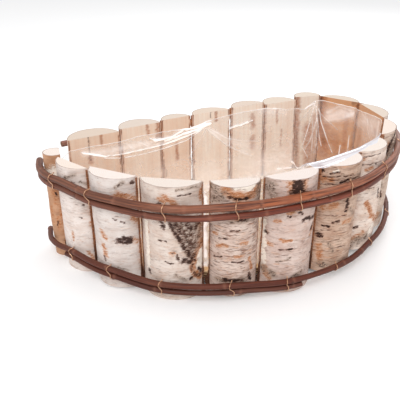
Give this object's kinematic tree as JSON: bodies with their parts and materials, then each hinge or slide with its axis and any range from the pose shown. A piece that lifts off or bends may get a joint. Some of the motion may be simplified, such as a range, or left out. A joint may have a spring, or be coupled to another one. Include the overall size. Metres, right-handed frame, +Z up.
{
  "type": "half-round log planter",
  "caption": "Half-round planter box of upright split birch logs round a base board, bound by bent willow rods and wire, with a clear film liner.",
  "frame": {"origin": "middle of the bounding box's footprint, on the floor that the longest logs stand on", "axes": "+Z up, +X along the straight back, +Y towards the straight back, -Y towards the middle of the curved front"},
  "size_m": [0.4566, 0.2788, 0.13],
  "materials": {
    "birch_log": "white birch bark outside with dark cracks and knots, pale sawn wood inside and on the cut ends",
    "willow_rod": "thin reddish-brown willow bark, slightly glossy",
    "copper_wire": "dull copper-coloured binding wire",
    "plywood_board": "bare birch plywood",
    "clear_film": "clear, creased plastic film, slightly milky"
  },
  "bodies": {
    "root": {"base_board": "plywood_board", "film_liner": "clear_film", "rod_foot_back": "willow_rod", "rod_foot_front_lower": "willow_rod", "rod_foot_front_upper": "willow_rod", "rod_top_back": "willow_rod", "rod_top_front_lower": "willow_rod", "rod_top_front_upper": "willow_rod", "stave_01": "birch_log", "stave_02": "birch_log", "stave_03": "birch_log", "stave_04": "birch_log", "stave_05": "birch_log", "stave_06": "birch_log", "stave_07": "birch_log", "stave_08": "birch_log", "stave_09": "birch_log", "stave_10": "birch_log", "stave_11": "birch_log", "stave_12": "birch_log", "stave_13": "birch_log", "stave_14": "birch_log", "stave_15": "birch_log", "stave_16": "birch_log", "stave_17": "birch_log", "stave_18": "birch_log", "tie_foot_01": "copper_wire", "tie_foot_02": "copper_wire", "tie_foot_03": "copper_wire", "tie_foot_04": "copper_wire", "tie_foot_05": "copper_wire", "tie_foot_06": "copper_wire", "tie_foot_07": "copper_wire", "tie_foot_08": "copper_wire", "tie_foot_09": "copper_wire", "tie_foot_10": "copper_wire", "tie_foot_11": "copper_wire", "tie_foot_12": "copper_wire", "tie_foot_13": "copper_wire", "tie_foot_14": "copper_wire", "tie_foot_15": "copper_wire", "tie_foot_16": "copper_wire", "tie_foot_17": "copper_wire", "tie_top_01": "copper_wire", "tie_top_02": "copper_wire", "tie_top_03": "copper_wire", "tie_top_04": "copper_wire", "tie_top_05": "copper_wire", "tie_top_06": "copper_wire", "tie_top_07": "copper_wire", "tie_top_08": "copper_wire", "tie_top_09": "copper_wire", "tie_top_10": "copper_wire", "tie_top_11": "copper_wire", "tie_top_12": "copper_wire", "tie_top_13": "copper_wire", "tie_top_14": "copper_wire", "tie_top_15": "copper_wire", "tie_top_16": "copper_wire", "tie_top_17": "copper_wire"}
  },
  "joints": []
}
